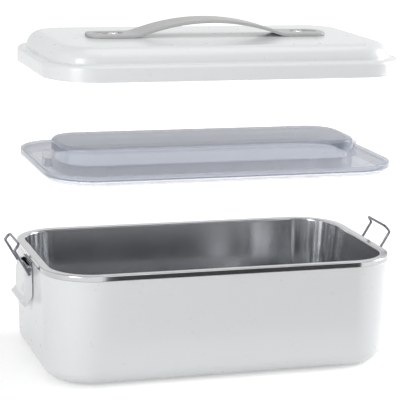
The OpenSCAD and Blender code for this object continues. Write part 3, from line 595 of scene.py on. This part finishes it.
def build_lever(side, word):
    """Cranked lever: a curved front with a lifting tab, two cheeks, narrowed at its low end."""
    half, cheek_t, length, bore_gap, edge_r = 14.0, 1.5, 26, 0.06, 0.3
    taper, taper_h = 0.22, 7
    low = PIN_V - length
    front = smooth_outline([
        (PIN_U + 1.9, PIN_V + 0.9, True), (PIN_U + 3.1, PIN_V - 2.5), (PIN_U + 3.5, PIN_V - 8),
        (PIN_U + 3.6, low + 9), (PIN_U + 6.6, low + 5.6, True), (PIN_U + 6.5, low + 4.3, True),
        (PIN_U + 2.4, low, True), (PIN_U + 1.1, low + 0.4, True), (PIN_U + 2.1, low + 9),
        (PIN_U + 2.0, PIN_V - 8), (PIN_U + 1.6, PIN_V - 3), (PIN_U + 0.8, PIN_V + 0.6, True)])
    cheek = smooth_outline([
        (PIN_U + 1.9, PIN_V + 0.8, True), (PIN_U + 3.1, PIN_V - 2.5), (PIN_U + 3.5, PIN_V - 8),
        (PIN_U + 3.6, low + 9), (PIN_U + 3.2, low + 3), (PIN_U + 2.4, low + 0.1, True),
        (PIN_U + 1.1, low + 0.5, True), (0.6, low + 7.2), (0.3, low + 12, True),
        (0.45, PIN_V - 2, True)])
    cheek += arc((PIN_U, PIN_V), 1.85, 178, 32, 8)

    def place_at(shift):
        return lambda u, v, w: at_end(side, u, v, w + shift)

    mesh = bmesh.new()
    add_prism(mesh, front, half - 0.05, place_at(0))
    lever = plain_object("latch_lever_form_" + word, mesh)
    for sign in (-1, 1):
        mesh = bmesh.new()
        add_prism(mesh, cheek, cheek_t / 2, place_at(sign * (half - cheek_t / 2)))
        combine(lever, mesh, "UNION")
    for centre in ((PIN_U, PIN_V), (BAIL_U, BAIL_V)):
        mesh = bmesh.new()
        add_prism(mesh, arc(centre, WIRE_R + bore_gap, 0, 345, 23), half + 1, place_at(0))
        combine(lever, mesh, "DIFFERENCE")
    soften(lever, edge_r)
    for vert in lever.data.vertices:
        lowness = max(0.0, min(1.0, 1 - (vert.co.z / MM - low) / taper_h))
        vert.co.y *= 1 - taper * lowness ** 2
    dress(lever, "lever_" + word, "white_plastic", "latch_lever_" + word, sharp=40)


# ---------------------------------------------------------------- clear cover

def build_clear_cover():
    """Clear cover: turned-down edge, flat flange, raised middle, two holes for the vent plugs."""
    wall, edge, rim_r, edge_low, lip_r, flange_in = 1.6, 30.8, 0.8, 135.5, 0.2, 3
    raised_r, top_r, foot_r, middle = 20.0, 2.4, 1, 10
    under, foot_gap, inner_lip, vent_r = COVER_RIM_Z - wall, 0.6, 0.5, 2.46
    top_centre = (raised_r - top_r, COVER_TOP_Z - top_r)

    outer = [ring(edge - wall, edge_low + lip_r), ring(edge - wall + lip_r, edge_low),
             ring(edge - lip_r, edge_low), ring(edge, edge_low + lip_r)]
    for out, z in arc((edge - rim_r, COVER_RIM_Z - rim_r), rim_r, 0, 90, 4):
        outer.append(ring(out, z))
    outer.append(ring(edge - flange_in, COVER_RIM_Z))
    for out, z in arc((raised_r + foot_r, COVER_RIM_Z + foot_r), foot_r, 270, 180, 4):
        outer.append(ring(out, z, RAISED))
    for out, z in arc(top_centre, top_r, 0, 90, 6) + [(middle, COVER_TOP_Z)]:
        outer.append(ring(out, z, RAISED))

    inner = [ring(middle, COVER_TOP_Z - wall, RAISED)]
    for out, z in arc(top_centre, top_r - wall, 90, 0, 4):
        inner.append(ring(out, z, RAISED))
    inner += [ring(raised_r - wall, under + foot_gap, RAISED),
              ring(raised_r - wall + foot_gap, under, RAISED),
              ring(edge - wall - inner_lip, under), ring(edge - wall, under - inner_lip)]
    mesh = bmesh.new()
    add_cover_skin(mesh, outer, inner)
    cover = plain_object("clear_inner_cover", mesh)
    for sign in (-1, 1):
        hole = disc_cutter(vent_r, (sign * VENT_X, 0), under - 1, COVER_RIM_Z + 1)
        combine(cover, hole, "DIFFERENCE")
    dress(cover, "inner_cover", "clear_plastic", "clear_cover")


def add_cover_skin(mesh, outer, inner):
    """Outer and inner skins, each closed by its own cap, joined along the cover's lower edge."""
    rows = held(inner + outer)
    verts = [[mesh.verts.new(point) for point in row] for row in rows]
    for low, high in zip(verts, verts[1:]):
        count = len(low)
        for i in range(count):
            mesh.faces.new((low[i], low[(i + 1) % count], high[(i + 1) % count], high[i]))
    mesh.faces.new(verts[0][::-1])
    mesh.faces.new(verts[-1])


def build_cover_gasket():
    """Flat seal under the cover's flange, with a lip that reaches down inside the tray."""
    profile = [(26.1, 132.1), (26.3, 131.9), (26.7, 131.9), (26.9, 132.1), (26.9, 133.7),
               (27.1, 133.9), (30.6, 133.9), (30.8, 134.1), (30.8, 135.25), (30.6, 135.45),
               (26.3, 135.45), (26.1, 135.25)]
    mesh = bmesh.new()
    add_rows(mesh, held([ring(out, z) for out, z in profile], closed=True), closed=True)
    gasket = plain_object("silicone_cover_gasket", mesh)
    dress(gasket, "inner_cover", "clear_silicone", "cover_gasket")


def build_vent_plug(side, word):
    """Soft plug: a barb under the cover, a stem, and a head with a grip groove."""
    low, stem_r = 133.2, 2.4
    stem = [(0.6, low), (2.2, low), (stem_r, low + 0.15), (3.3, low + 1), (stem_r, low + 1.05),
            (stem_r, 139.15)]
    head = [(4.0, 139.15), (4.3, 139.45), (4.3, 141.2), (4.05, 141.5), (4.05, 141.9), (4.3, 142.2)]
    crown = arc((3.3, 143.45), 1.0, 0, 90, 5) + [(2.0, 144.45), (1.6, 144.2), (0.4, 144.1)]
    mesh = bmesh.new()
    add_rows(mesh, held(turned(stem + head + crown, (side * VENT_X, 0))))
    plug = plain_object("soft_vent_plug_" + word, mesh)
    dress(plug, "vent_" + word, "clear_silicone", "vent_plug_" + word)


# ---------------------------------------------------------------- lid and strap

def build_lid_shell():
    """White lid: domed top, ledge and skirt, with a groove at each end for the bail's bar."""
    wall, middle, dome_r, dome_out, edge_r, edge_in_r = 1.6, 2, 10.2, 16.8, 2.4, 0.35
    fillet_r, inner_low = 0.8, 205.0
    dome = (dome_out, LID_LEDGE_Z)
    profile = [(middle, LID_TOP_Z)] + arc(dome, dome_r, 90, 4, 10)
    profile += arc((27.8, LID_LEDGE_Z + fillet_r), fillet_r, 190, 270, 4) + [(30.0, LID_LEDGE_Z)]
    profile += arc((CORNER_R - edge_r, LID_LEDGE_Z - edge_r), edge_r, 90, 0, 6)
    profile += [(CORNER_R, LID_Z + 0.6)]
    profile += arc((CORNER_R - edge_in_r, LID_Z + edge_in_r), edge_in_r, 0, -90, 3)
    profile += arc((CORNER_R - wall + edge_in_r, LID_Z + edge_in_r), edge_in_r, -90, -180, 3)
    profile += [(CORNER_R - wall, inner_low)] + arc((30.6, 205.9), fillet_r, 0, 90, 4)
    profile += [(25.7, 206.7), (25.4, 207.0)] + arc(dome, dome_r - wall, 0, 90, 10)
    profile += [(middle, LID_TOP_Z - wall)]
    mesh = bmesh.new()
    add_rows(mesh, held([ring(out, z) for out, z in profile]))
    lid = plain_object("domed_lid", mesh)

    groove_half, screw_hole_r = 17.2, 2.05
    groove = [(-3.3, 1), (-3.3, -0.5), (-2.1, -0.5), (1, -1.63), (1, 1)]
    for side in (-1, 1):
        mesh = bmesh.new()
        add_prism(mesh, groove, groove_half, lambda u, v, w: at_end(side, u, LID_LEDGE_Z + v, w))
        combine(lid, mesh, "DIFFERENCE")
    for sign in (-1, 1):
        hole = disc_cutter(screw_hole_r, (sign * STRAP_SCREW_X, 0), 215, 220)
        combine(lid, hole, "DIFFERENCE")
    dress(lid, "lid", "white_plastic", "lid_shell")


def strap_height(x, radius, foot):
    """Height of the strap's face above the lid at x, flat at the ends and arched between."""
    blend = 0.3
    arch = math.sqrt(radius ** 2 - x ** 2) - ARCH_DROP
    return (arch + foot + math.sqrt((arch - foot) ** 2 + blend)) / 2


def strap_grid(inset, drop, under):
    """Rows of points across the strap, inset from its outline and dropped from its top face."""
    end_r, end_x, end_y, across, seat_gap = 8.0 - inset, 74.0, 4.5, 18, 0.02
    stations = []
    for angle in range(0, 90, 10):
        turn = math.radians(180 - angle)
        stations.append((-end_x + end_r * math.cos(turn), end_y + end_r * math.sin(turn)))
    stations += [(-end_x + 2 * i, end_y + end_r) for i in range(75)]
    for angle in range(10, 91, 10):
        turn = math.radians(90 - angle)
        stations.append((end_x + end_r * math.cos(turn), end_y + end_r * math.sin(turn)))
    radius, foot = (ARCH_R, 0.0) if under else (ARCH_R + STRAP_T, STRAP_T)
    rows = []
    for x, y in stations:
        z = LID_TOP_Z + seat_gap + strap_height(x, radius, foot) - drop
        rows.append([Vector((x, y * (1 - 2 * k / across), z)) * MM for k in range(across + 1)])
    return rows


def border(rows):
    """The grid's outer ring, in order."""
    last = len(rows[0]) - 1
    return ([row[0] for row in rows] + rows[-1][1:last] + [row[last] for row in rows[::-1]]
            + rows[0][last - 1:0:-1])


def build_handle_strap():
    """Arched strap with rounded edges, and at each foot a pressed recess with a slot in it."""
    edge_top, edge_low = 0.9, 0.5
    mesh = bmesh.new()
    top, bottom = strap_grid(edge_top, 0, False), strap_grid(edge_low, 0, True)
    grids = []
    for rows in (top, bottom):
        verts = [[mesh.verts.new(point) for point in row] for row in rows]
        for left, right in zip(verts, verts[1:]):
            for k in range(len(left) - 1):
                mesh.faces.new((left[k], right[k], right[k + 1], left[k + 1]))
        grids.append(border(verts))
    rings = [grids[0]]
    for inset, drop in arc((edge_top, edge_top), edge_top, 252, 180, 4):
        rings.append([mesh.verts.new(point) for point in border(strap_grid(inset, drop, False))])
    for inset, rise in arc((edge_low, edge_low), edge_low, 180, 225, 2):
        rings.append([mesh.verts.new(point) for point in border(strap_grid(inset, -rise, True))])
    rings.append(grids[1])
    for high, low in zip(rings, rings[1:]):
        count = len(high)
        for i in range(count):
            mesh.faces.new((high[i], high[(i + 1) % count], low[(i + 1) % count], low[i]))
    strap = plain_object("arched_strap", mesh)

    floor_z = STRAP_FACE_Z - SINK_DEPTH
    recess = [(5.75, floor_z), (5.9, STRAP_FACE_Z - 0.66), (6.0, STRAP_FACE_Z - 0.5),
              (6.0, STRAP_FACE_Z + 0.4)]
    recess_rows = [ring(out, z, (4.0, 0.0), 12) for out, z in recess]
    slot_rows = [ring(2.7, z, (4.4, 0.0), 12) for z in (LID_TOP_Z - 1, STRAP_FACE_Z + 1)]
    for sign in (-1, 1):
        for rows, x in ((recess_rows, 67.5), (slot_rows, STRAP_SCREW_X + 0.8)):
            shift = Vector((sign * x * MM, 0, 0))
            mesh = bmesh.new()
            add_rows(mesh, [[point + shift for point in row] for row in rows])
            combine(strap, mesh, "DIFFERENCE")
    dress(strap, "lid", "strap_grey", "handle_strap", sharp=35)


def build_handle_screws():
    """Two domed screws in the strap's recesses, each with a cross recess."""
    head_z, head_r, dome, shank, shank_low = STRAP_FACE_Z - SINK_DEPTH, 3.5, 1.4, 2.0, 215.0
    chamfer, rim, cross_long, cross_wide, cross_low, cross_top = 0.3, 0.15, 2.0, 0.35, 0.7, 2
    cap_r = (head_r ** 2 + dome ** 2) / (2 * dome)
    reach = math.degrees(math.asin(head_r / cap_r))
    profile = [(shank - chamfer, shank_low), (shank, shank_low + chamfer), (shank, head_z),
               (head_r - rim, head_z), (head_r, head_z + rim)]
    profile += arc((0, head_z + dome - cap_r), cap_r, 90 - reach * 0.92, 89, 8)
    mesh = bmesh.new()
    for sign in (-1, 1):
        add_rows(mesh, turned(profile, (sign * STRAP_SCREW_X, 0), 36))
    screws = plain_object("domed_strap_screws", mesh)
    for sign in (-1, 1):
        for long_x, long_y in ((cross_long, cross_wide), (cross_wide, cross_long)):
            corners = [(-long_x, -long_y), (long_x, -long_y), (long_x, long_y), (-long_x, long_y)]
            mesh = bmesh.new()
            add_rows(mesh, [[Vector((sign * STRAP_SCREW_X + x, y, z)) * MM for x, y in corners]
                            for z in (head_z + cross_low, head_z + cross_top)])
            combine(screws, mesh, "DIFFERENCE")
    dress(screws, "lid", "screw_steel", "handle_screws")


build_outer_shell()
build_steel_tray()
build_clear_cover()
build_cover_gasket()
build_lid_shell()
build_handle_strap()
build_handle_screws()
for side, word in ((-1, "left"), (1, "right")):
    build_bail(side, word)
    build_lever(side, word)
    build_vent_plug(side, word)


# ---------------------------------------------------------------- stage, lights and camera

AIM = Vector((-1.72, 0, 106.27)) * MM
AZIMUTH, ELEVATION, ROLL = math.radians(17.78), math.radians(12.31), math.radians(1.47)
CAMERA_DISTANCE = 1128.3 * MM
CAMERA_LENS = 149.4


def place_camera():
    """Camera fitted to the photo's corners and edges."""
    flat = math.cos(ELEVATION)
    forward = Vector((math.sin(AZIMUTH) * flat, math.cos(AZIMUTH) * flat, -math.sin(ELEVATION)))
    level = Vector((math.cos(AZIMUTH), -math.sin(AZIMUTH), 0))
    upright = level.cross(forward)
    right = level * math.cos(ROLL) + upright * math.sin(ROLL)
    up = upright * math.cos(ROLL) - level * math.sin(ROLL)
    data = bpy.data.cameras.new("photo_camera")
    data.lens = CAMERA_LENS
    data.clip_start, data.clip_end = 0.05, 50
    camera = bpy.data.objects.new("photo_camera", data)
    bpy.context.scene.collection.objects.link(camera)
    turn = Matrix((right, up, -forward)).transposed().to_4x4()
    camera.matrix_world = Matrix.Translation(AIM - forward * CAMERA_DISTANCE) @ turn
    bpy.context.scene.camera = camera


def add_softbox(name, place, size, power):
    """Rectangular lamp, size in metres and power in watts, aimed at the case."""
    data = bpy.data.lights.new(name, "AREA")
    data.shape = "RECTANGLE"
    data.size, data.size_y = size
    data.energy = power
    lamp = bpy.data.objects.new(name, data)
    bpy.context.scene.collection.objects.link(lamp)
    lamp.location = place
    lamp.rotation_euler = (LAMP_AIM - Vector(place)).to_track_quat("-Z", "Y").to_euler()


def add_dark_card(name, span_x, y, span_z, shade):
    """Upright card that only reflections see, so that polished steel has something to show."""
    (left, right), (low, high) = span_x, span_z
    mesh = bmesh.new()
    corners = [(left, y, low), (right, y, low), (right, y, high), (left, y, high)]
    mesh.faces.new([mesh.verts.new(corner) for corner in corners])
    card = plain_object(name, mesh)
    cloth = new_material(name + "_cloth", Base_Color=(0.05, 0.05, 0.05, 1), Roughness=1.0,
                         Emission_Color=(1, 1, 1, 1), Emission_Strength=shade)[0]
    card.data.materials.append(cloth)
    for ray in ("camera", "diffuse", "transmission", "shadow"):
        setattr(card, "visible_" + ray, False)


def pale_rays(tree):
    """One where the camera, a reflection or a clear piece looks straight at the backdrop."""
    rays = tree.nodes.new("ShaderNodeLightPath")
    first = node_in(tree, "ShaderNodeMath", {"operation": "MAXIMUM"})
    both = node_in(tree, "ShaderNodeMath", {"operation": "MAXIMUM"})
    tree.links.new(rays.outputs["Is Camera Ray"], first.inputs[0])
    tree.links.new(rays.outputs["Is Transmission Ray"], first.inputs[1])
    tree.links.new(first.outputs["Value"], both.inputs[0])
    tree.links.new(rays.outputs["Is Glossy Ray"], both.inputs[1])
    return both.outputs["Value"]


def build_world(level):
    """Plain white world. It shows white to the camera, to reflections and through clear pieces."""
    world = bpy.data.worlds.new("studio_world")
    bpy.context.scene.world = world
    world.use_nodes = True
    tree = world.node_tree
    backdrop = tree.nodes["Background"]
    backdrop.inputs["Color"].default_value = (1, 1, 1, 1)
    strength = spread(tree, pale_rays(tree), 0, 1, level, 1.0)
    tree.links.new(strength, backdrop.inputs["Strength"])


def build_floor():
    """Pale floor that keeps a soft shadow and grows into the white background further out."""
    far = 12.0
    corners = [(-far, -far, 0), (far, -far, 0), (far, far, 0), (-far, far, 0)]
    mesh = bpy.data.meshes.new("studio_floor")
    mesh.from_pydata(corners, [], [(0, 1, 2, 3)])
    floor = bpy.data.objects.new("studio_floor", mesh)
    bpy.context.scene.collection.objects.link(floor)
    made, tree, shader = new_material("studio_floor_white", Base_Color=(0.86, 0.86, 0.86, 1),
                                      Roughness=0.9, Specular_IOR_Level=0.0,
                                      Emission_Color=(1, 1, 1, 1))
    place = tree.nodes.new("ShaderNodeNewGeometry")
    reach = node_in(tree, "ShaderNodeVectorMath", {"operation": "LENGTH"})
    seen = node_in(tree, "ShaderNodeMath", {"operation": "MULTIPLY"})
    tree.links.new(place.outputs["Position"], reach.inputs[0])
    glow = spread(tree, reach.outputs["Value"], *FLOOR_REACH, *FLOOR_GLOW)
    tree.links.new(glow, seen.inputs[0])
    tree.links.new(pale_rays(tree), seen.inputs[1])
    tree.links.new(seen.outputs["Value"], shader.inputs["Emission Strength"])
    mesh.materials.append(made)


# Two distances from the middle of the floor, and how brightly it shows itself at each
FLOOR_REACH, FLOOR_GLOW = (0.2, 0.9), (0.42, 0.84)
WORLD_LEVEL = 0.25
LAMP_AIM = Vector((0, 0, 0.08))
# Name, place, size in metres, power in watts
SOFTBOXES = (
    ("softbox_top", (0.2, -0.1, 1.7), (1.6, 1.2), 9.3),
    ("softbox_left", (-1.15, -1.0, 0.5), (0.6, 1.2), 13.2),
    ("softbox_right", (1.5, 0.0, 0.45), (0.7, 1.2), 21.5),
)

place_camera()
build_world(WORLD_LEVEL)
build_floor()
for softbox in SOFTBOXES:
    add_softbox(*softbox)
add_dark_card("flag_front", (-0.07, 0.135), -0.14, (0.002, 0.12), 0.05)
bpy.context.scene.view_settings.view_transform = "Standard"
